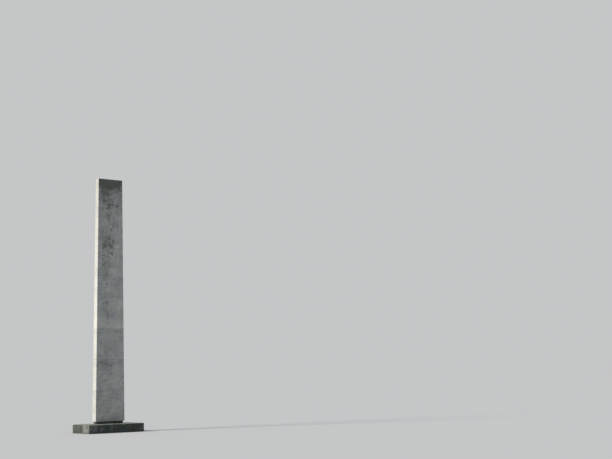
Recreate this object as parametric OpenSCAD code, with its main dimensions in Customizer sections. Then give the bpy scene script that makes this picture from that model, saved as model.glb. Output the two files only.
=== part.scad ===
// A tall, flat-topped memorial pillar of coursed stone, tapering on all four
// sides. It stands on a recessed neck over a low plinth of separate stones.
// X is the width, -Y the front, +Z up, and the origin is the middle of the base.

/* [Shaft] */
// Width of the shaft at its foot
shaft_foot_w = 1000; // [800:5:1300]
// Depth of the shaft at its foot
shaft_foot_d = 240; // [200:5:400]
// Width of the shaft at its top
shaft_top_w = 840; // [500:5:1000]
// Depth of the shaft at its top
shaft_top_d = 200; // [120:5:240]
// Width of the flat worn along the upright arrises, measured along each face
arris_ease = 5; // [2:1:15]

/* [Courses] */
// Rise of each full course, with the mortar bed on it
course_rise = 960; // [700:5:1100]
// Rise of the lower course under the cap, with the mortar bed on it
top_course_rise = 655; // [300:5:960]
// Height of the cap stone
cap_h = 280; // [150:5:500]
// Thickness of the mortar beds
bed_t = 5; // [3:0.5:12]
// How far the mortar beds are raked back from the faces
bed_rake = 2; // [1:0.5:10]

/* [Neck] */
// Height of the open shadow gap between the plinth and the shaft
gap_h = 75; // [40:1:150]
// How far the neck stands back from the shaft's foot on every side
neck_inset = 35; // [20:1:70]

/* [Plinth] */
// Width of the plinth
plinth_w = 1900; // [1500:10:2600]
// Depth of the plinth
plinth_d = 1140; // [800:10:1800]
// Height of the plinth
plinth_h = 270; // [150:5:500]
// Length of the shorter stone of the front and back rows
short_stone_w = 780; // [400:10:1100]
// Width of the mortar joints between the plinth's stones
joint_w = 10; // [3:0.5:15]
// How far those joints are raked back from the faces and the top
joint_rake = 3; // [1:0.5:12]
// Width of the flat worn along the plinth's outer top edges and corners
plinth_ease = 10; // [3:1:30]

/* [Hidden] */
full_courses = 7;
last_course = full_courses + 1;

limestone = [0.60, 0.61, 0.59];
limestone_top = [0.42, 0.44, 0.42];
plinth_stone = [0.36, 0.38, 0.35];
mortar = [0.66, 0.64, 0.59];
neck_stone = [0.22, 0.24, 0.24];

// Heights above the shaft's foot
cap_z = full_courses * course_rise + top_course_rise;
shaft_h = cap_z + cap_h;
// Heights above the ground
shaft_z = plinth_h + gap_h;
// The cutting prisms run past what they cut by this much
past = 50;

// Where course i ends, above the shaft's foot
function course_end(i) = min(i, full_courses) * course_rise + (i > full_courses ? top_course_rise : 0);
// Half width, half depth and half corner-to-corner breadth of the shaft at height z, taken in by inset
function half_w(z, inset) = (shaft_foot_w + (shaft_top_w - shaft_foot_w) * z / shaft_h) / 2 - inset;
function half_d(z, inset) = (shaft_foot_d + (shaft_top_d - shaft_foot_d) * z / shaft_h) / 2 - inset;
function half_corner(z, inset) = (half_w(z, inset) + half_d(z, inset) - arris_ease) / sqrt(2);

// A straight prism along Y whose two sides lean in from half0 at z0 to half1 at z1
module battered_prism(half0, half1, z0, z1) {
    rotate([90, 0, 0])
        linear_extrude(height = 2 * (shaft_foot_w + past), center = true)
            polygon([[-half0, z0], [half0, z0], [half1, z1], [-half1, z1]]);
}

// The shaft between two heights above its foot: four faces and four worn arrises, each a true plane
module shaft_slice(z0, z1, inset = 0) {
    low = z0 - past;
    high = z1 + past;
    translate([0, 0, shaft_z])
        intersection() {
            battered_prism(half_w(z0, inset), half_w(z1, inset), z0, z1);
            rotate([0, 0, 90])
                battered_prism(half_d(low, inset), half_d(high, inset), low, high);
            rotate([0, 0, 45])
                battered_prism(half_corner(low, inset), half_corner(high, inset), low, high);
            rotate([0, 0, -45])
                battered_prism(half_corner(low, inset), half_corner(high, inset), low, high);
        }
}

module course(i) {
    color(i == last_course ? limestone_top : limestone)
        shaft_slice(course_end(i - 1), course_end(i) - bed_t);
}

// The mortar bed that lies on course i
module bed(i) {
    color(mortar)
        shaft_slice(course_end(i) - bed_t, course_end(i), bed_rake);
}

module cap_stone() {
    color(limestone_top)
        shaft_slice(cap_z, shaft_h);
}

// A level block centred on the axis, from z0 up to z1
module level_block(w, d, z0, z1) {
    translate([-w / 2, -d / 2, z0])
        cube([w, d, z1 - z0]);
}

neck_w = shaft_foot_w - 2 * neck_inset;
neck_d = shaft_foot_d - 2 * neck_inset;

module neck_block() {
    color(neck_stone)
        level_block(neck_w, neck_d, plinth_h + bed_t, shaft_z - bed_t);
}

// A mortar bed under or over the neck, raked back from the neck's own faces
module neck_bed(z) {
    color(mortar)
        level_block(neck_w - 2 * bed_rake, neck_d - 2 * bed_rake, z, z + bed_t);
}

// Upright outline with both upper corners taken off by the worn flat
module eased_outline(w, h) {
    polygon([
        [-w / 2, -past], [w / 2, -past], [w / 2, h - plinth_ease], [w / 2 - plinth_ease, h],
        [-w / 2 + plinth_ease, h], [-w / 2, h - plinth_ease]
    ]);
}

// The plinth as if it were one stone, with its worn top edges and corners
module plinth_envelope() {
    corner = (plinth_w / 2 + plinth_d / 2 - plinth_ease) * sqrt(2);
    intersection() {
        rotate([90, 0, 0])
            linear_extrude(height = plinth_d + 2 * past, center = true)
                eased_outline(plinth_w, plinth_h);
        rotate([90, 0, 90])
            linear_extrude(height = plinth_w + 2 * past, center = true)
                eased_outline(plinth_d, plinth_h);
        level_block(plinth_w + 2 * past, plinth_d + 2 * past, 0, plinth_h + past);
        rotate([0, 0, 45])
            level_block(corner, corner, 0, plinth_h + past);
    }
}

// One stone of the plinth between two x and two y values, worn only where it is on the outside
module plinth_stone_between(x0, x1, y0, y1) {
    color(plinth_stone)
        intersection() {
            plinth_envelope();
            translate([x0, y0, -past])
                cube([x1 - x0, y1 - y0, plinth_h + 2 * past]);
        }
}

// Mortar between the plinth's stones
module plinth_mortar(x0, x1, y0, y1) {
    color(mortar)
        translate([x0, y0, 0])
            cube([x1 - x0, y1 - y0, plinth_h - joint_rake]);
}

// The core stone stands right under the shaft, so its faces are the shaft's
core_x = shaft_foot_w / 2;
core_y = shaft_foot_d / 2;
row_y = core_y + joint_w;
end_x = core_x + joint_w;
split_x = -plinth_w / 2 + short_stone_w;

// The front row, seen from the front: the short stone is on the left
module front_short() {
    plinth_stone_between(-plinth_w / 2, split_x, -plinth_d / 2, -row_y);
}
module front_long() {
    plinth_stone_between(split_x + joint_w, plinth_w / 2, -plinth_d / 2, -row_y);
}
module front_joint() {
    plinth_mortar(split_x, split_x + joint_w, -plinth_d / 2 + joint_rake, -row_y);
}
module long_joint() {
    plinth_mortar(-plinth_w / 2 + joint_rake, plinth_w / 2 - joint_rake, -row_y, -core_y);
}
module end_stone() {
    plinth_stone_between(-plinth_w / 2, -end_x, -core_y, core_y);
}
module core_joint() {
    plinth_mortar(-end_x, -core_x, -core_y, core_y);
}
module core_stone() {
    plinth_stone_between(-core_x, core_x, -core_y, core_y);
}
// The back row and the right end repeat the front row and the left end, turned half round
module turned() {
    rotate([0, 0, 180])
        children();
}

front_short();  // plinth_front_short
front_long();  // plinth_front_long
turned() front_short();  // plinth_back_short
turned() front_long();  // plinth_back_long
end_stone();  // plinth_end_left
turned() end_stone();  // plinth_end_right
core_stone();  // plinth_core
front_joint();  // joint_front
turned() front_joint();  // joint_back
long_joint();  // long_joint_front
turned() long_joint();  // long_joint_back
core_joint();  // core_joint_left
turned() core_joint();  // core_joint_right
neck_bed(plinth_h);  // neck_bed_lower
neck_block();
neck_bed(shaft_z - bed_t);  // neck_bed_upper
for (i = [1 : last_course]) {
    course(i);
    bed(i);
}
cap_stone();
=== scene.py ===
import itertools
import math
import bpy
import numpy as np
from mathutils import Matrix, Vector


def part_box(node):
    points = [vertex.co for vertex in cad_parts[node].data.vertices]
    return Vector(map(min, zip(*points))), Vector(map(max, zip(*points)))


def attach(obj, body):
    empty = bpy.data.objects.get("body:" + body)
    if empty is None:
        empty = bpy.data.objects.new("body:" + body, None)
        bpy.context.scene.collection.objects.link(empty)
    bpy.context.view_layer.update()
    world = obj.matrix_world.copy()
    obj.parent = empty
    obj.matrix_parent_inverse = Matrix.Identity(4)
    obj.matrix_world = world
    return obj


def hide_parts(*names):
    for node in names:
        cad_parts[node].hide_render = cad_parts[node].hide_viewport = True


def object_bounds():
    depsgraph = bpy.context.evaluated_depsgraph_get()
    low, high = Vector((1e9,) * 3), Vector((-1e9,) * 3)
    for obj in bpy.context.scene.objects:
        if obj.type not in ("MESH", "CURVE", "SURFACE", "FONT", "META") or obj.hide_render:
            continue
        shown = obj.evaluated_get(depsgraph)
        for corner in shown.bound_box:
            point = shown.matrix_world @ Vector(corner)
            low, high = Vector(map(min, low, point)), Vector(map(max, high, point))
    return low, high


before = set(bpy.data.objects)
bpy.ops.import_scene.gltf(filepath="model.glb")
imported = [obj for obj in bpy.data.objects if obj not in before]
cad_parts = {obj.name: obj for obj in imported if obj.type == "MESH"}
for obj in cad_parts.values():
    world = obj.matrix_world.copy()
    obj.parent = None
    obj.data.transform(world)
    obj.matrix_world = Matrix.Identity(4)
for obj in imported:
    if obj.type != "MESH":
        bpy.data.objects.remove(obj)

cadLow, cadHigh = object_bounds()
print("frame loaded,", len(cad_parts), "pieces,", round(cadHigh.z, 3), "m tall")


# Camera: at eye height, 36 m off towards the left of the front, with a short telephoto lens

cameraSettings = {
    "place": (-16.748, -32.390, 1.622),
    "turn": 37.287,  # degrees from +Y towards +X
    "tilt": 7.370,   # degrees above level
    "roll": 1.126,   # degrees, so that level lines rise to the right
    "lens": 66.66,
    "sensor": 36.0,
    "farthest": 900.0,
}


def addCamera(settings):
    turn, tilt, roll = (math.radians(settings[key]) for key in ("turn", "tilt", "roll"))
    ahead = Vector((math.sin(turn) * math.cos(tilt), math.cos(turn) * math.cos(tilt), math.sin(tilt)))
    level = Vector((math.cos(turn), -math.sin(turn), 0))
    above = level.cross(ahead)
    right = level * math.cos(roll) - above * math.sin(roll)
    up = level * math.sin(roll) + above * math.cos(roll)
    data = bpy.data.cameras.new("camera")
    data.sensor_width = settings["sensor"]
    data.lens = settings["lens"]
    data.clip_end = settings["farthest"]
    camera = bpy.data.objects.new("camera", data)
    matrix = Matrix((right, up, -ahead)).transposed().to_4x4()
    matrix.translation = settings["place"]
    camera.matrix_world = matrix
    bpy.context.scene.collection.objects.link(camera)
    bpy.context.scene.camera = camera


addCamera(cameraSettings)


# Node maths: a Value is one socket, and sums of Values and numbers add their own Math nodes

class Value:
    def __init__(self, nodes, socket):
        self.nodes = nodes
        self.socket = socket

    def math(self, operation, first, second, clamp=False):
        settings = {"operation": operation, "use_clamp": clamp}
        return self.nodes.add("ShaderNodeMath", settings, {0: first, 1: second})

    def __add__(self, other):
        return self.math("ADD", self, other)

    def __sub__(self, other):
        return self.math("SUBTRACT", self, other)

    def __rsub__(self, other):
        return self.math("SUBTRACT", other, self)

    def __mul__(self, other):
        return self.math("MULTIPLY", self, other)

    __radd__ = __add__
    __rmul__ = __mul__

    def clamped(self):
        return self.math("ADD", self, 0.0, clamp=True)

    def most(self, other):
        return self.math("MAXIMUM", self, other)

    def ramp(self, low, high):  # 0 up to low, 1 from high, eased between
        inputs = {"Value": self, "From Min": low, "From Max": high}
        return self.nodes.add("ShaderNodeMapRange", {"interpolation_type": "SMOOTHSTEP"}, inputs)


class Nodes:  # the nodes of one material, or of the sky
    def __init__(self, tree):
        self.tree = tree

    def add(self, kind, settings, inputs, output=0):
        node = self.tree.nodes.new(kind)
        for key, value in settings.items():
            setattr(node, key, value)
        self.fill(node, inputs)
        return Value(self, node.outputs[output])

    def fill(self, node, inputs):
        for key, value in inputs.items():
            socket = node.inputs[key]
            if isinstance(value, Value):
                self.tree.links.new(value.socket, socket)
            elif socket.type == "RGBA":
                socket.default_value = (*value, 1)
            else:
                socket.default_value = value

    def present(self, kind):  # the node of this kind that a new tree already has
        return next(node for node in self.tree.nodes if node.type == kind)

    def blend(self, share, first, second):  # sockets 6 and 7 of a Mix node are its two colours
        settings = {"data_type": "RGBA", "clamp_factor": True}
        return self.add("ShaderNodeMix", settings, {0: share, 6: first, 7: second}, output=2)

    def shaded(self, colour, lightness):  # a colour times a value
        return self.tinted(colour, self.add("ShaderNodeCombineColor", {}, dict.fromkeys(range(3), lightness)))

    def tinted(self, colour, hue):
        settings = {"data_type": "RGBA", "blend_type": "MULTIPLY"}
        return self.add("ShaderNodeMix", settings, {0: 1.0, 6: colour, 7: hue}, output=2)

    def place(self):  # the point on the object, in metres
        return self.add("ShaderNodeTexCoord", {}, {}, output="Object")

    def moved(self, point, operation, by):
        return self.add("ShaderNodeVectorMath", {"operation": operation}, {0: point, 1: by})

    def noise(self, point, scale, detail=4.0, roughness=0.55, distortion=0.0):
        inputs = {"Vector": point, "Scale": scale, "Detail": detail, "Roughness": roughness,
                  "Distortion": distortion}
        return self.add("ShaderNodeTexNoise", {}, inputs)

    def cells(self, point, scale):  # the distance to the nearest of many scattered points
        return self.add("ShaderNodeTexVoronoi", {}, {"Vector": point, "Scale": scale})

    def kept(self, name):  # a value that the mesh keeps with each of its points
        return self.add("ShaderNodeAttribute", {"attribute_name": name}, {}, output="Fac")


# Stonework: each stone is a fine grid over the CAD stone, dressed, worn and chipped inwards

touching = 1e-4  # metres: a point closer to a side than this lies on it
noiseSide = 32   # cells along each side of the table of random values, which then repeats
noiseTurn = np.array([(0.8, 0.36, -0.48), (-0.6, 0.48, -0.64), (0.0, 0.8, 0.6)])


def softNoise(points, cell, seed):
    # smooth random values from -1 to 1 that change over one cell, in metres
    table = np.random.default_rng(seed).uniform(-1, 1, (noiseSide,) * 3)
    spot = points / cell
    base = np.floor(spot).astype(int)
    part = spot - base
    part = part * part * (3 - 2 * part)
    total = np.zeros(len(points))
    for corner in itertools.product((0, 1), repeat=3):
        weight = np.prod(np.where(np.array(corner) == 1, part, 1 - part), axis=1)
        at = (base + corner) % noiseSide
        total += weight * table[at[:, 0], at[:, 1], at[:, 2]]
    return total


def roughNoise(points, cell, seed, steps=3):
    # the same with finer and weaker steps added, each turned so that no rows show
    total = np.zeros(len(points))
    for step in range(steps):
        points = points @ noiseTurn
        total += softNoise(points, cell / 2 ** step, seed + step) * 0.6 ** step
    return total


def ease(values, low, high):  # 0 up to low, 1 from high, eased between
    share = np.clip((values - low) / (high - low), 0, 1)
    return share * share * (3 - 2 * share)


def fade(values, low, high):
    return 1 - ease(values, low, high)


def rising(strength, share):  # strength is what there is at the foot, and what is added higher up
    return strength[0] + strength[1] * share


def covered(film):
    # the share of the stone that films hide: they add up, and each further one hides less
    return 1 - np.exp(-np.maximum(film, 0))


def gridLines(length, spacing, edgeLines):
    # places from 0 to length, closer together at both ends so that worn edges keep their shape
    inner = [place for place in edgeLines if place < length * 0.3]
    if not inner:
        return np.linspace(0, length, max(1, round(length / spacing)) + 1)
    count = max(1, round((length - 2 * inner[-1]) / spacing))
    middle = np.linspace(inner[-1], length - inner[-1], count + 1)
    ends = [0.0, *inner[:-1]]
    return np.array([*ends, *middle, *(length - place for place in reversed(ends))])


def skin(lines):
    # the six sides of a block as one grid, sharing the points along its edges
    counts = [len(line) for line in lines]
    onSkin = np.zeros(counts, bool)
    sides = []
    for axis, end in itertools.product(range(3), (0, -1)):
        side = [slice(None)] * 3
        side[axis] = end
        onSkin[tuple(side)] = True
        sides.append((tuple(side), (end == -1) == (axis != 1)))
    number = -np.ones(counts, int)
    number[onSkin] = np.arange(onSkin.sum())
    where = np.argwhere(onSkin)
    points = np.stack([lines[axis][where[:, axis]] for axis in range(3)], axis=1)
    faces = []
    for side, outward in sides:
        sheet = number[side]
        quads = np.stack([sheet[:-1, :-1], sheet[1:, :-1], sheet[1:, 1:], sheet[:-1, 1:]], axis=-1)
        quads = quads.reshape(-1, 4)
        faces.append(quads if outward else quads[:, ::-1])
    return points, np.concatenate(faces)


class Stone:
    # one CAD stone: a block whose sides may lean, and which of its sides are out in the weather
    sides = ("left", "right", "front", "back", "under", "top")
    inward = np.array([(1, 0, 0), (-1, 0, 0), (0, 1, 0), (0, -1, 0), (0, 0, 1), (0, 0, -1)], float)

    def __init__(self, node, outside):
        self.node = node
        self.outside = outside
        points = np.array([vertex.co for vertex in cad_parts[node].data.vertices])
        self.low, self.high = points.min(0), points.max(0)
        self.head = self.foot = (self.low, self.high)
        if node.startswith(("course", "bed", "cap")):  # the shaft's stones lean, the others are upright
            head = points[points[:, 2] > self.high[2] - touching]
            foot = points[points[:, 2] < self.low[2] + touching]
            self.head = (head.min(0), head.max(0))
            self.foot = (foot.min(0), foot.max(0))

    def corners(self, points):
        share = ((points[:, 2] - self.low[2]) / (self.high[2] - self.low[2]))[:, None]
        return [self.foot[end] + (self.head[end] - self.foot[end]) * share for end in (0, 1)]

    def depths(self, points):  # how deep each point lies behind each of the six sides
        low, high = self.corners(points)
        return [points[:, 0] - low[:, 0], high[:, 0] - points[:, 0], points[:, 1] - low[:, 1],
                high[:, 1] - points[:, 1], points[:, 2] - self.low[2], self.high[2] - points[:, 2]]

    def near(self, points, reach):  # for each side by name, which points lie this close to it
        return {side: depth < reach for side, depth in zip(self.sides, self.depths(points))}

    def grid(self, dressing):
        size = self.high - self.low
        lines = [gridLines(length, dressing["spacing"], dressing["edgeLines"]) for length in size]
        points, faces = skin(lines)
        across = points / size
        points = points + self.low
        low, high = self.corners(points)
        points[:, :2] = (low + (high - low) * across)[:, :2]
        return points, faces


def work(stone, points, dressing, seed):
    # takes the stone back: wavy sides, worn arrises, and chips broken off them
    depths = stone.depths(points)
    dice = np.random.default_rng(seed)
    move = np.zeros_like(points)
    fresh = np.zeros(len(points))
    broken = roughNoise(points, dressing["chipCell"], seed + 1)
    chips = dressing["chip"] * ease(broken, dressing["chipFrom"], dressing["chipFrom"] + 0.7) ** 1.5
    uneven = 1 + 0.35 * softNoise(points, 0.04, seed + 4)
    for one, other in itertools.combinations(range(6), 2):
        if one // 2 == other // 2 or not (stone.outside[one] or stone.outside[other]):
            continue  # opposite sides share no arris, and one between two hidden sides doesn't wear
        both = stone.outside[one] and stone.outside[other]
        arris = dressing["arris"] if both else dressing["bedArris"]
        reach = arris * uneven + chips * (1 if both else dressing["bedChips"])
        take = np.maximum(0, reach - depths[one] - depths[other]) / 2
        move += take[:, None] * (stone.inward[one] + stone.inward[other])
        fresh = np.maximum(fresh, ease(take, dressing["arris"] * 0.35, dressing["arris"] * 1.2))
    wave = 0.5 + 0.35 * roughNoise(points, dressing["waveCell"], seed + 5)
    for side in range(6):
        if stone.outside[side]:
            depth = dressing["topWave"] if side == 5 else dressing["wave"]
            back = dice.uniform(0, dressing["lip"]) + depth * np.clip(wave, 0, 1)
            move += np.where(depths[side] < touching, back, 0)[:, None] * stone.inward[side]
    return points + move, fresh


def addStone(stone, points, faces, values, dressing, finish, ending="worn"):
    # wears one stone, or bed of mortar, and lets it stand for its CAD solid
    points, values["fresh"] = work(stone, points, dressing, 100 + 10 * values["stoneNumber"])
    mesh = bpy.data.meshes.new(f"{stone.node}_{ending}")
    mesh.from_pydata(points.tolist(), [], faces.tolist())
    mesh.polygons.foreach_set("use_smooth", [True] * len(mesh.polygons))
    for key, value in values.items():
        kept = mesh.attributes.new(key, "FLOAT", "POINT")
        kept.data.foreach_set("value", np.broadcast_to(value, len(points)).astype(np.float32))
    mesh.materials.append(finish)
    mesh.update()
    piece = bpy.data.objects.new(mesh.name, mesh)
    bpy.context.scene.collection.objects.link(piece)
    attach(piece, "root")
    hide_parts(stone.node)


# How fine each layer of a stone's finish is, in steps per metre
scales = {
    "cloud": 2.6, "mottle": 18, "grit": 110, "sand": 520, "bedding": 2.0, "hollowed": 8, "pits": 75,
    "hollows": 19, "fresh": 40, "film": 19, "ragged": 55, "lichen": 21, "smallLichen": 46,
    "lichenPlaces": 4.5, "ochre": 2.9, "green": 26, "hue": 4.0,
}


def stoneFinish(name, colours, grain, mossiness):
    # a clean stone with its own figure, then what age lays on it: washed runs, film, lichen and moss; where
    # the meshes ask for it, the film also lays on painted shade and the wash a painted highlight
    material = bpy.data.materials.new(name)
    material.use_nodes = True
    nodes = Nodes(material.node_tree)
    point = nodes.place()
    number = nodes.kept("stoneNumber")
    apart = nodes.add("ShaderNodeCombineXYZ", {}, {0: number * 3.7, 1: number * 1.9, 2: number * 2.3})
    own = nodes.moved(point, "ADD", apart)

    cloud = nodes.noise(own, scales["cloud"], 4, 0.6)
    mottle = nodes.noise(own, scales["mottle"], 8, 0.7, 0.4)
    grit = nodes.noise(own, scales["grit"], 5, 0.75)
    sand = nodes.noise(point, scales["sand"], 2, 0.6)
    level = nodes.moved(own, "MULTIPLY", (1.1, 1.1, 8))  # pressed flat, as stone beds are
    bedding = nodes.noise(level, scales["bedding"], 5, 0.65)
    figure = cloud * 0.38 + mottle * 0.46 + bedding * 0.2
    colour = nodes.blend(figure.ramp(0.405, 0.630), colours["pale"], colours["grey"])
    colour = nodes.shaded(colour, nodes.kept("stoneTone") * (0.62 + grit * 0.52 + sand * 0.24))

    few = nodes.noise(own, scales["hollowed"], 3)
    pits = (0.20 - nodes.cells(own, scales["pits"])).ramp(0, 0.10) * few.ramp(0.40, 0.60)
    hollows = (0.17 - nodes.cells(own, scales["hollows"]) + (mottle - 0.5) * 0.5).ramp(0, 0.05)
    hollows = hollows * few.ramp(0.56, 0.62)
    colour = nodes.blend((pits + hollows).clamped() * 0.6, colour, colours["speck"])
    fresh = nodes.kept("fresh") * nodes.noise(point, scales["fresh"], 3).ramp(0.35, 0.6)
    runs = nodes.kept("washAndHighlight") * (0.3 + mottle * 1.3)
    colour = nodes.blend((runs + fresh * 0.6).clamped() * 0.55, colour, colours["washed"])

    # the film is even where it is thin, and where it is thick it grows in patches with crisp edges
    patch = nodes.noise(point, scales["film"], 9, 0.72, 0.4)
    grimeAndShade = nodes.kept("grimeAndShade")
    crisp = (grimeAndShade + (0.32 - patch) * 2.6).ramp(-0.15, 0.15)
    film = grimeAndShade + (crisp - grimeAndShade) * grimeAndShade.ramp(0.03, 0.45) * 0.5
    crustColour = nodes.shaded(colours["film"], patch.ramp(0.36, 0.64) * 0.9 + grit - 0.05)
    colour = nodes.blend(film * 0.92, colour, crustColour)

    ragged = (nodes.noise(point, scales["ragged"], 4, 0.65) - 0.5) * 1.3
    large = (0.27 - nodes.cells(point, scales["lichen"]) + ragged * 0.5).ramp(0, 0.06)
    small = (0.21 - nodes.cells(own, scales["smallLichen"]) + ragged * 0.3).ramp(0, 0.06)
    lichen = nodes.kept("lichen") * large.most(small)
    lichen = lichen * nodes.noise(point, scales["lichenPlaces"], 5).ramp(0.47, 0.58)
    yellow = nodes.noise(point, scales["ochre"], 2).ramp(0.57, 0.60)
    colour = nodes.blend(lichen * 0.6, colour, nodes.blend(yellow, colours["lichen"], colours["ochre"]))

    green = nodes.kept("green") * nodes.noise(point, scales["green"], 7, 0.72).ramp(0.44, 0.56) * mossiness
    colour = nodes.blend(green.clamped(), colour, colours["moss"])
    drift = nodes.noise(own, scales["hue"], 3, 0.5).ramp(0.36, 0.64)
    hue = nodes.blend(drift, colours["cool"], colours["warm"])

    relief = grit * 0.8 + mottle * 0.7 + sand * 0.2 - pits * 0.6 - hollows + lichen * 0.3 + green * 0.8
    bump = {"Height": relief, "Strength": 0.6 * grain, "Distance": 0.003}
    nodes.fill(nodes.present("BSDF_PRINCIPLED"), {
        "Base Color": nodes.tinted(colour, hue),
        "Roughness": 0.94 - film * 0.1,
        "Specular IOR Level": 0.3,
        "Normal": nodes.add("ShaderNodeBump", {}, bump),
    })
    return material


# Shaft: pale grey limestone, dark with algae at the top, where water runs down from the cap

shaftStone = {
    "pale": (0.411, 0.405, 0.383),
    "grey": (0.258, 0.259, 0.251),
    "speck": (0.142, 0.146, 0.136),
    "washed": (0.489, 0.478, 0.434),
    "film": (0.047, 0.056, 0.051),
    "lichen": (0.400, 0.420, 0.370),
    "ochre": (0.300, 0.255, 0.120),
    "moss": (0.112, 0.127, 0.076),
    "cool": (0.988, 0.990, 1.034),
    "warm": (1.008, 1.008, 0.964),
}
shaftFinish = stoneFinish("shaft_stone", shaftStone, grain=1.0, mossiness=0.75)

shaft = {
    "spacing": 0.011,     # between the grid's lines, in metres as all lengths here
    "edgeLines": [0.002, 0.0045, 0.008, 0.013, 0.020],  # how far from each edge closer lines lie
    "arris": 0.005,       # how far the outer arrises are rubbed down
    "bedArris": 0.0012,   # and those along the beds
    "chip": 0.017,        # the deepest chip
    "chipFrom": 0.60,     # lower for more chips
    "chipCell": 0.13,     # how far apart they are
    "bedChips": 0.35,     # how deep they are along the beds, against the rest
    "wave": 0.0018,       # unevenness of the sides
    "topWave": 0.0025,
    "waveCell": 0.30,
    "lip": 0.0006,        # how far one stone may stand behind the next
    "tones": {"course_1": 0.97, "course_2": 0.97, "course_3": 0.98, "course_4": 1.05, "course_5": 1.03,
              "course_6": 1.04, "course_7": 0.99, "course_8": 0.95, "cap_stone": 0.93},
    "rim": 0.004,         # points this close to a face are finished as part of it
    "topRim": 0.005,      # and this close to the top
    "algae": 0.24,        # thin green on all sides, and the heights between which it sets in
    "algaeHeights": (1, 5),
    "lichen": (0.15, 0.35),  # at the foot, and what is added between these heights
    "lichenHeights": (4, 7.5),
    "topLichen": 0.9,
}

# The dirt and algae on the shaft, and painted shade low on the sunny end. Heights and places across: where
# something begins, where it is full
dirtAndShade = {
    "faces": {"left": 0.12, "right": 0.85, "front": 1.00, "back": 0.70},  # each face's share
    "sunnyFootDirtAndShade": 0.36,            # more on the sunny end near the ground: partly splash dirt, partly painted shade for the shadow on the end's lower part
    "sunnyFootDirtAndShadeHeights": (0.5, 2.6),
    "upperHeights": (4.2, 7.2),
    "streaks": (0.07, 0.15),      # strength at the foot, and what is added at the upper heights
    "blots": (0.12, 0.20),
    "specks": (0.10, 0.08),
    "clouds": 0.14,
    "cleanAcross": (0.0, 0.25),   # the front's right-hand third keeps cleaner, but not near the top
    "cleanTop": (7.70, 7.85),
    "darkened": 0.13,                 # the front darkens towards its left side, but less so at the foot and top
    "darkenedAcross": (-0.40, 0.30),
    "darkenedFoot": (0.3, 1.5),
    "darkenedTop": (5.9, 6.3),
    "lodged": (0.07, -0.04),      # along the beds, and less above the lower ones
    "lodgedHeights": (2.3, 2.6),
    "lodgedReach": 0.010,
}

# Where rain keeps the shaft clean, and paler; on the sunny end the paleness is partly a painted highlight of
# the sun on that end
washingAndHighlight = {
    "runs": 0.30,
    "runsTop": (6.4, 7.6),
    "stone": "course_4",          # its foot is the palest place on the front and back
    "foot": 0.85,
    "footStep": 0.003,
    "footHeights": (0.125, 0.525),  # above the stone's foot
    # the sunny end is paler: partly cleaner stone, partly a painted highlight
    "sunny": 0.55,
}

# The film on the shady front by height above the ground; 1 hides most of the stone
filmByHeight = [
    (0.34, 0.36), (0.42, 0.20), (0.52, 0.10), (0.70, 0.07), (1.25, 0.06), (3.10, 0.045), (3.22, 0.06),
    (3.26, 0.0), (3.60, 0.0), (3.75, 0.03), (4.60, 0.0), (5.20, 0.0), (5.45, 0.09), (5.70, 0.15),
    (6.10, 0.09), (6.60, 0.05), (6.87, 0.05), (7.00, 0.13), (7.20, 0.30), (7.40, 0.42), (7.66, 0.56),
    (7.74, 0.85), (7.82, 1.50), (8.00, 2.20),
]

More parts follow.
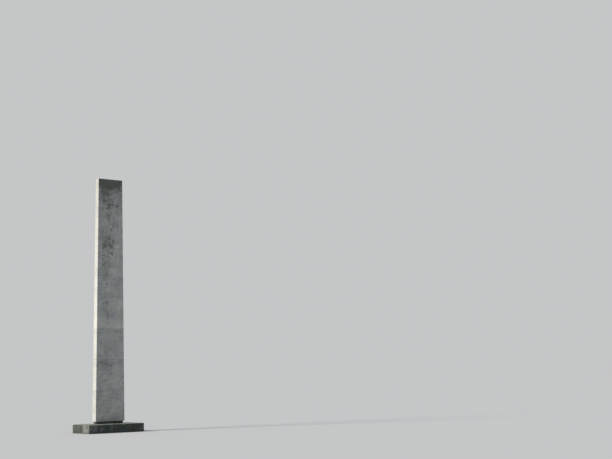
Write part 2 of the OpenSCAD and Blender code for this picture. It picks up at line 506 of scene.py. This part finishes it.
# Stains: across, height, half width, half height, strength, and how far they run down
frontStains = [
    # cap stone and the course below it
    (-0.03, 7.79, 0.22, 0.10, 1.20, 0.15), (-0.02, 7.70, 0.14, 0.05, 0.75, 0.05),
    (-0.29, 7.72, 0.09, 0.06, 0.50, 0.08), (0.26, 7.88, 0.10, 0.07, 0.45, 0.03),
    (-0.18, 7.58, 0.13, 0.14, 0.75, 0.25), (0.033, 7.54, 0.03, 0.08, 0.50, 0.15),
    (-0.225, 7.295, 0.07, 0.07, 0.75, 0.08),
    # seventh bed
    (-0.055, 7.145, 0.04, 0.04, 0.85, 0.05), (0.02, 7.178, 0.10, 0.025, 0.65, 0.05),
    (-0.06, 7.05, 0.04, 0.05, 0.18, 0.15), (0.235, 7.15, 0.06, 0.05, 1.10, 0.10),
    (0.21, 6.97, 0.04, 0.10, 0.28, 0.05), (-0.055, 6.76, 0.03, 0.10, 0.65, 0.06),
    (0.105, 6.64, 0.035, 0.035, 0.45, 0.05),
    # seventh course, lower part
    (0.085, 6.50, 0.03, 0.08, 0.50, 0.08), (0.035, 6.37, 0.035, 0.06, 0.72, 0.06),
    (0.255, 6.46, 0.025, 0.07, 0.45, 0.05), (0.245, 6.28, 0.03, 0.06, 0.60, 0.05),
    (-0.30, 6.30, 0.05, 0.30, 0.10, 0.20),
    # sixth bed and the large mark below it
    (-0.01, 6.085, 0.10, 0.04, 0.60, 0.06), (-0.07, 6.14, 0.06, 0.05, 0.25, 0.05),
    (0.10, 6.01, 0.05, 0.05, 0.68, 0.10), (-0.194, 5.984, 0.04, 0.04, 0.40, 0.05),
    (-0.06, 5.99, 0.16, 0.12, 0.22, 0.10), (-0.205, 5.855, 0.06, 0.08, 0.68, 0.12),
    (-0.27, 5.74, 0.045, 0.05, 0.55, 0.05), (0.015, 5.855, 0.07, 0.055, 0.68, 0.15),
    (0.01, 5.82, 0.11, 0.17, 0.18, 0.10), (-0.22, 5.79, 0.10, 0.16, 0.18, 0.10),
    (0.055, 5.60, 0.05, 0.06, 0.60, 0.12), (-0.12, 5.515, 0.12, 0.025, 0.42, 0.03),
    (-0.27, 5.44, 0.035, 0.045, 0.44, 0.05), (-0.27, 5.25, 0.04, 0.035, 0.42, 0.12),
    (-0.18, 5.30, 0.075, 0.04, 0.40, 0.10), (-0.10, 5.335, 0.07, 0.035, 0.40, 0.06),
    (0.035, 5.29, 0.025, 0.025, 0.35, 0.03),
    # fifth course
    (-0.15, 5.08, 0.11, 0.40, 0.08, 0.20), (-0.22, 5.08, 0.06, 0.15, 0.18, 0.20),
    (0.03, 4.96, 0.035, 0.05, 0.30, 0.05), (-0.265, 4.84, 0.035, 0.10, 0.25, 0.05),
    (-0.105, 4.63, 0.035, 0.07, 0.48, 0.05), (-0.155, 4.52, 0.05, 0.035, 0.45, 0.05),
    (-0.22, 4.345, 0.10, 0.03, 0.35, 0.04), (-0.19, 4.24, 0.05, 0.03, 0.40, 0.04),
    # fourth course
    (-0.13, 4.05, 0.038, 0.05, 0.58, 0.03), (-0.245, 4.02, 0.035, 0.03, 0.40, 0.04),
    (0.03, 3.83, 0.025, 0.035, 0.45, 0.04), (-0.15, 3.78, 0.06, 0.055, 0.50, 0.05),
    (-0.085, 3.60, 0.045, 0.11, 0.44, 0.05), (-0.14, 3.85, 0.10, 0.35, 0.07, 0.20),
    # third course
    (0.19, 3.13, 0.16, 0.08, 0.25, 0.10), (-0.08, 3.17, 0.05, 0.025, 0.25, 0.03),
    (-0.14, 2.60, 0.10, 0.40, 0.18, 0.20), (-0.20, 2.38, 0.18, 0.09, 0.12, 0.05),
    (-0.30, 2.33, 0.06, 0.06, 0.20, 0.05), (-0.08, 2.263, 0.18, 0.014, 0.30, 0.02),
    # second and first courses
    (-0.31, 2.17, 0.11, 0.07, 0.22, 0.15), (-0.155, 2.10, 0.04, 0.03, 0.30, 0.05),
    (-0.005, 2.06, 0.045, 0.05, 0.24, 0.10), (0.163, 2.07, 0.035, 0.035, 0.32, 0.06),
    (-0.22, 2.05, 0.20, 0.16, 0.12, 0.20), (-0.29, 1.60, 0.045, 0.09, 0.24, 0.10),
    (-0.25, 1.60, 0.18, 0.30, 0.10, 0.10), (-0.18, 1.61, 0.10, 0.018, 0.22, 0.05),
    (-0.12, 1.375, 0.12, 0.018, 0.26, 0.05), (-0.27, 0.40, 0.16, 0.06, 0.25, 0.03),
]

# Olive algae on the front, and stains on the back, given in the same way
frontAlgae = [
    (-0.07, 5.93, 0.20, 0.20, 1.00, 0.30), (-0.05, 6.85, 0.08, 0.30, 0.70, 0.30),
    (-0.16, 5.20, 0.14, 0.35, 0.60, 0.20), (-0.05, 7.72, 0.30, 0.20, 0.60, 0.20),
    (-0.20, 3.95, 0.20, 0.12, 0.60, 0.20), (-0.27, 2.15, 0.13, 0.14, 0.60, 0.20),
    (-0.14, 2.30, 0.06, 0.30, 0.40, 0.10),
]

backStains = [
    (0.12, 7.78, 0.22, 0.10, 0.60, 0.30), (-0.20, 7.58, 0.15, 0.11, 0.36, 0.35),
    (0.27, 7.12, 0.07, 0.05, 0.40, 0.30), (-0.05, 7.02, 0.06, 0.05, 0.42, 0.40),
    (0.12, 6.04, 0.14, 0.08, 0.46, 0.30), (-0.22, 5.90, 0.07, 0.09, 0.36, 0.25),
    (0.02, 5.34, 0.05, 0.12, 0.28, 0.20), (0.20, 5.08, 0.08, 0.06, 0.30, 0.20),
    (-0.10, 4.14, 0.10, 0.05, 0.32, 0.25), (-0.26, 3.70, 0.05, 0.10, 0.24, 0.20),
    (0.24, 3.18, 0.07, 0.04, 0.28, 0.20), (-0.24, 2.22, 0.14, 0.06, 0.28, 0.20),
    (0.10, 1.28, 0.10, 0.04, 0.26, 0.15),
]


def stained(points, stains, facing):
    # facing is -1 for the front and 1 for the back; ragged spots with thin runs below them
    ragged = roughNoise(points, 0.09, 61)
    fine = roughNoise(points, 0.045, 65, 2)
    runs = ease(softNoise(points * (1, 1, 0.14), 0.045, 64), -0.2, 0.8)
    total = np.zeros(len(points))
    for across, up, wide, high, strength, drop in stains:
        dx = (points[:, 0] - across) / wide + 0.30 * ragged
        dz = points[:, 2] - up
        away = np.hypot(dx, dz / high + 0.30 * fine) + 0.15 * ragged + 0.25 * fine
        spot = strength * fade(away, 0.3, 1.5)
        below = np.clip(1 + dz / drop, 0, 1) * (dz < 0)
        run = strength * 0.6 * runs * below * fade(np.abs(dx), 0.3, 1.1)
        total += np.maximum(spot, run)
    return total * (points[:, 1] * facing > 0)


def shaftFilmAndShade(points, stone):
    # how much of the shaft's stone the dirt and algae hide at each point, with painted shade added low on the
    # sunny end
    across, height = points[:, 0], points[:, 2]
    near = stone.near(points, shaft["rim"])
    share = np.max([near[side] * amount for side, amount in dirtAndShade["faces"].items()], axis=0)
    outer = share > 0
    # painted shade low on the sunny end, partly splash dirt
    foot = dirtAndShade["sunnyFootDirtAndShade"] * near["left"] * fade(height, *dirtAndShade["sunnyFootDirtAndShadeHeights"])
    share = np.where(outer, share, 1.0) + foot

    cleaner = ease(across, *dirtAndShade["cleanAcross"]) * near["front"] * fade(height, *dirtAndShade["cleanTop"])
    ragged = roughNoise(points, 0.13, 63)
    base = np.interp(height + 0.05 * ragged, *zip(*filmByHeight)) * (1 - 0.30 * cleaner)
    # the front darker towards its left side, less at the foot and top
    darkened = ease(height, *dirtAndShade["darkenedFoot"]) * (1 - 0.6 * ease(height, *dirtAndShade["darkenedTop"]))
    base = base + dirtAndShade["darkened"] * near["front"] * fade(across, *dirtAndShade["darkenedAcross"]) * darkened
    clouds = ease(roughNoise(points * (1, 1, 0.6), 0.24, 76), 0.0, 1.1)
    base = base + dirtAndShade["clouds"] * clouds * (1 - 0.6 * cleaner)
    broad = 1 + 0.30 * roughNoise(points, 0.30, 66) + 0.25 * ragged

    upper = ease(height, *dirtAndShade["upperHeights"])
    sway = points + np.stack([0.02 * softNoise(points, 0.25, 70)] * 2 + [np.zeros(len(points))], axis=1)
    drips = softNoise(sway * (1, 1, 0.14), 0.045, 67) + softNoise(sway * (1, 1, 0.10), 0.09, 68)
    streaks = ease(drips, 0.1, 1.3) * rising(dirtAndShade["streaks"], upper)
    sheltered = 1 - 0.5 * cleaner
    blots = ease(roughNoise(points, 0.10, 69), 0.25, 1.05) * rising(dirtAndShade["blots"], upper) * sheltered
    specks = ease(roughNoise(points, 0.05, 74, 2), 0.55, 1.0) * rising(dirtAndShade["specks"], upper) * sheltered
    total = (base * broad + streaks + blots + specks) * share
    total += (stained(points, frontStains, -1) + stained(points, backStains, 1)) * outer

    depths = stone.depths(points)
    seam = np.minimum(depths[4], depths[5])
    lodged = rising(dirtAndShade["lodged"], ease(height, *dirtAndShade["lodgedHeights"]))
    patchy = np.clip(0.2 + 0.8 * roughNoise(points, 0.22, 75), 0, 1)
    total += lodged * np.exp(-seam / dirtAndShade["lodgedReach"]) * patchy
    return covered(total)


def shaftWashAndHighlight(points, stone):
    # how pale the rain has washed the shaft's stone at each point, and on the sunny end a painted highlight
    # as well
    height = points[:, 2]
    runs = ease(softNoise(points * (1, 1, 0.10), 0.07, 71), 0.1, 0.9) * fade(height, *washingAndHighlight["runsTop"])
    ragged = roughNoise(points, 0.14, 72)
    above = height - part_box(washingAndHighlight["stone"])[0].z
    foot = ease(above, -washingAndHighlight["footStep"], washingAndHighlight["footStep"])
    foot = foot * fade(above + 0.14 * ragged, *washingAndHighlight["footHeights"])
    washed = (washingAndHighlight["runs"] * runs + washingAndHighlight["foot"] * foot) * (0.7 + 0.6 * ragged)
    return np.clip(washed + washingAndHighlight["sunny"] * stone.near(points, shaft["rim"])["left"], 0, 1)


def buildShaft():
    for number, (node, tone) in enumerate(shaft["tones"].items(), 1):
        stone = Stone(node, [True] * 4 + [False, node == "cap_stone"])
        points, faces = stone.grid(shaft)
        height = points[:, 2]
        algae = ease(roughNoise(points, 0.22, 73), 0.2, 0.9) * ease(height, *shaft["algaeHeights"])
        sunny = stone.near(points, shaft["rim"])["left"]
        lichen = rising(shaft["lichen"], ease(height, *shaft["lichenHeights"])) * ~sunny
        values = {
            "stoneNumber": number,
            "stoneTone": tone,
            "grimeAndShade": shaftFilmAndShade(points, stone),
            "washAndHighlight": shaftWashAndHighlight(points, stone),
            "green": np.clip(shaft["algae"] * algae + stained(points, frontAlgae, -1), 0, 1),
            "lichen": np.where(height > cadHigh.z - shaft["topRim"], shaft["topLichen"], lichen),
        }
        addStone(stone, points, faces, values, shaft, shaftFinish)
    print("shaft built,", len(shaft["tones"]), "stones")


buildShaft()


# Plinth: darker stone, damp and mossy, with bruised outer arrises that have worn pale; the film on its
# upright sides is partly painted shade

plinthStone = {
    "pale": (0.170, 0.180, 0.172),
    "grey": (0.092, 0.100, 0.096),
    "speck": (0.044, 0.048, 0.046),
    "washed": (0.300, 0.315, 0.285),
    "film": (0.020, 0.026, 0.023),
    "lichen": (0.230, 0.250, 0.210),
    "ochre": (0.190, 0.165, 0.080),
    "moss": (0.042, 0.056, 0.026),
    "cool": (0.94, 1.00, 1.05),
    "warm": (1.08, 1.00, 0.90),
}
plinthFinish = stoneFinish("plinth_stone", plinthStone, grain=1.5, mossiness=0.8)

plinth = {
    "spacing": 0.016,
    "edgeLines": [0.003, 0.007, 0.012, 0.020, 0.030],
    "arris": 0.010,
    "bedArris": 0.003,
    "chip": 0.030,
    "chipFrom": 0.45,
    "chipCell": 0.09,
    "bedChips": 0.35,
    "wave": 0.008,
    "topWave": 0.004,
    "waveCell": 0.13,
    "lip": 0.0015,
    # tone of each stone, and the film on its upright sides, which is dirt and moss and partly painted shade
    # of the low ground
    "stones": {"plinth_front_short": (0.98, 0.50), "plinth_front_long": (0.92, 1.25),
               "plinth_back_short": (1.00, 0.80), "plinth_back_long": (1.02, 1.30),
               # plinth_end_left's darker tone and thicker film are painted shade, the shade that end stands
               # in
               "plinth_end_left": (0.72, 1.55), "plinth_end_right": (1.00, 0.90), "plinth_core": (0.95, 0.7)},
    "topFilm": 0.16,
    "footFilm": 0.5,      # more on the upright sides near the ground
    "footHeight": 0.10,
    "topWash": 0.75,      # the top has worn pale
    "sideWash": 0.06,
    "paleStone": "plinth_front_short",  # it has a paler left end than the rest, under a film that is partly painted shade
    "paleEndDirtAndShade": 0.62,
    "paleWash": 0.36,
    "mossStep": 0.010,    # the moss thins out over this depth below the top
    "topRim": 0.005,
    "sideLichen": 0.35,
    "topLichen": 0.7,
}

plinthStains = [
    (-0.61, 0.14, 0.07, 0.16, 1.0, 0.10), (-0.31, 0.14, 0.07, 0.16, 1.7, 0.10),
    (-0.39, 0.14, 0.09, 0.14, 0.5, 0.10), (-0.44, 0.24, 0.22, 0.03, 0.5, 0.10),
    (-0.42, 0.02, 0.30, 0.06, 0.6, 0.02), (-0.10, 0.13, 0.07, 0.15, 0.6, 0.10),
    (0.62, 0.14, 0.16, 0.12, 0.6, 0.10),
]


def plinthFilmAndShade(points, stone, amount):
    near = stone.near(points, touching)
    upright = ~near["top"]
    level = np.where(upright, amount, plinth["topFilm"])
    if stone.node == plinth["paleStone"]:
        # the pale end's film is partly painted shade
        level = np.where(near["left"] & ~near["front"] & upright, plinth["paleEndDirtAndShade"], level)
    low = fade(points[:, 2], 0.0, plinth["footHeight"]) * plinth["footFilm"]
    broad = 1 + 0.45 * roughNoise(points, 0.30, 81) + 0.45 * roughNoise(points, 0.10, 82)
    return covered((level + low * upright) * broad + stained(points, plinthStains, -1) * near["front"])


def plinthWash(points, stone):
    near = stone.near(points, touching)
    ragged = roughNoise(points, 0.12, 85)
    washAndHighlight = np.where(near["top"], plinth["topWash"] + 0.25 * ragged, plinth["sideWash"])
    if stone.node == plinth["paleStone"]:
        washAndHighlight = np.where(near["left"] & ~near["top"], plinth["paleWash"] + 0.22 * ragged, washAndHighlight)
    return np.clip(washAndHighlight, 0, 1)


def buildPlinth():
    for number, (node, (tone, amount)) in enumerate(plinth["stones"].items(), 21):
        low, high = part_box(node)
        ends = ((low, cadLow), (high, cadHigh))
        outer = [abs(own[axis] - whole[axis]) < touching for axis in range(2) for own, whole in ends]
        stone = Stone(node, outer + [False, True])
        points, faces = stone.grid(plinth)
        under = high.z - points[:, 2]
        mossy = ease(roughNoise(points, 0.16, 86), -0.3, 0.8)
        values = {
            "stoneNumber": number,
            "stoneTone": tone,
            "grimeAndShade": plinthFilmAndShade(points, stone, amount),
            "washAndHighlight": plinthWash(points, stone),
            "green": mossy * (1 - 0.7 * fade(under, 0, plinth["mossStep"])),
            "lichen": np.where(under < plinth["topRim"], plinth["topLichen"], plinth["sideLichen"]),
        }
        addStone(stone, points, faces, values, plinth, plinthFinish)
    print("plinth built,", len(plinth["stones"]), "stones")


buildPlinth()


# Mortar and neck: raked lime mortar in the beds and joints, and the block in the shadow gap, whose near-black
# colour is painted shade

mortarMix = {
    "pale": (0.300, 0.298, 0.270),
    "grey": (0.190, 0.190, 0.172),
    "speck": (0.090, 0.085, 0.075),
    "washed": (0.360, 0.355, 0.330),
    "film": (0.050, 0.055, 0.048),
    "lichen": (0.300, 0.310, 0.270),
    "ochre": (0.220, 0.190, 0.100),
    "moss": (0.055, 0.072, 0.032),
    "cool": (0.98, 1.00, 1.02),
    "warm": (1.03, 1.00, 0.94),
}
mortarFinish = stoneFinish("mortar", mortarMix, grain=2.0, mossiness=0.7)

# the neck's colours are near black as painted shade, the shadow under the shaft's overhang
neckPaintedShade = {
    "pale": (0.100, 0.103, 0.098),
    "grey": (0.055, 0.058, 0.055),
    "speck": (0.024, 0.025, 0.024),
    "washed": (0.150, 0.150, 0.140),
    "film": (0.016, 0.019, 0.015),
    "lichen": (0.100, 0.110, 0.095),
    "ochre": (0.090, 0.080, 0.050),
    "moss": (0.034, 0.046, 0.022),
    "cool": (0.94, 1.00, 1.04),
    "warm": (1.04, 1.00, 0.94),
}
neckShadeFinish = stoneFinish("neck_stone", neckPaintedShade, grain=1.2, mossiness=0.5)

mortar = {
    "spacing": 0.020,
    "edgeLines": [0.003, 0.008],
    "arris": 0.0008,
    "bedArris": 0.0,
    "chip": 0.003,
    "chipFrom": 0.3,
    "chipCell": 0.05,
    "bedChips": 0.0,
    "wave": 0.0012,
    "topWave": 0.0012,
    "waveCell": 0.05,
    "lip": 0.0,
    "tone": 0.92,
    "bedTonesAndPaintedLight": (0.92, 1.15, 1.25, 1.50, 1.50, 1.30, 1.20, 1.10),  # from the lowest bed up; the higher tones make the mortar paler than the stone, partly painted light that lifts the shade in the raked beds
    "film": 0.35,
    "frontFilm": 0.20,  # in the joint of the plinth's front
}


def buildMortar():
    beds = {f"bed_{place}": tone for place, tone in enumerate(mortar["bedTonesAndPaintedLight"], 1)}
    joints = ["joint_front", "joint_back", "long_joint_front", "long_joint_back", "core_joint_left",
              "core_joint_right", "neck_bed_lower", "neck_bed_upper"]
    for number, node in enumerate([*beds, *joints, "neck_block"], 41):
        stone = Stone(node, [True] * 4 + [False, node in joints])
        points, faces = stone.grid(mortar)
        darkened = mortar["frontFilm"] if node == "joint_front" else mortar["film"]
        values = {
            "stoneNumber": number,
            "stoneTone": beds.get(node, mortar["tone"]),
            "grimeAndShade": shaftFilmAndShade(points, stone) if node in beds else darkened + 0.25 * roughNoise(points, 0.1, 92),
            "washAndHighlight": 0.0,
            "green": ease(roughNoise(points, 0.12, 91), -0.4, 0.5) * (node in joints),
            "lichen": 0.0,
        }
        if node == "neck_block":
            # the neck takes its painted-shade colours
            addStone(stone, points, faces, values, mortar, neckShadeFinish, "darkened")
        else:
            addStone(stone, points, faces, values, mortar, mortarFinish, "raked")
    print("mortar and neck built")


buildMortar()


# Floor and light: a pale level floor, an even sky and one broad soft lamp from the left

studio = {
    "floorSize": 1600.0,
    "floor": (0.4016, 0.3990, 0.4056),
    "backdrop": (0.560, 0.565, 0.570),
    "skyColour": (0.85, 0.945, 1.045),
    "skyStrength": 0.60,
    "lampColour": (1.0, 0.96, 0.88),
    "lampStrength": 5.8,
    "lampFrom": (-1.0, 0.12, 0.55),
    "lampWidth": 20.0,  # degrees across
}


def addFloor():
    half = studio["floorSize"] / 2
    mesh = bpy.data.meshes.new("floor")
    corners = [(-half, -half, 0), (half, -half, 0), (half, half, 0), (-half, half, 0)]
    mesh.from_pydata(corners, [], [(0, 1, 2, 3)])
    material = bpy.data.materials.new("floor")
    material.use_nodes = True
    nodes = Nodes(material.node_tree)
    nodes.fill(nodes.present("BSDF_PRINCIPLED"), {
        "Base Color": studio["floor"],
        "Roughness": 1.0,
        "Specular IOR Level": 0.0,
    })
    mesh.materials.append(material)
    floor = bpy.data.objects.new("floor", mesh)
    bpy.context.scene.collection.objects.link(floor)


def addLamp():
    data = bpy.data.lights.new("lamp", "SUN")
    data.energy = studio["lampStrength"]
    data.color = studio["lampColour"]
    data.angle = math.radians(studio["lampWidth"])
    lamp = bpy.data.objects.new("lamp", data)
    lamp.rotation_euler = Vector(studio["lampFrom"]).to_track_quat("Z", "Y").to_euler()
    bpy.context.scene.collection.objects.link(lamp)


def addSky():
    world = bpy.data.worlds.new("sky")
    bpy.context.scene.world = world
    world.use_nodes = True
    nodes = Nodes(world.node_tree)
    lit = nodes.present("BACKGROUND")
    nodes.fill(lit, {0: studio["skyColour"], 1: studio["skyStrength"]})
    seen = nodes.add("ShaderNodeBackground", {}, {0: studio["backdrop"], 1: 1.0})
    straight, mirrored, through = (nodes.add("ShaderNodeLightPath", {}, {}, output=ray) for ray in
                                   ("Is Camera Ray", "Is Glossy Ray", "Is Transmission Ray"))
    share = straight.most(mirrored).most(through)
    both = nodes.add("ShaderNodeMixShader", {}, {0: share, 1: Value(nodes, lit.outputs[0]), 2: seen})
    nodes.fill(nodes.present("OUTPUT_WORLD"), {"Surface": both})


addFloor()
addLamp()
addSky()
bpy.context.scene.view_settings.view_transform = "Standard"
print("floor and light added")
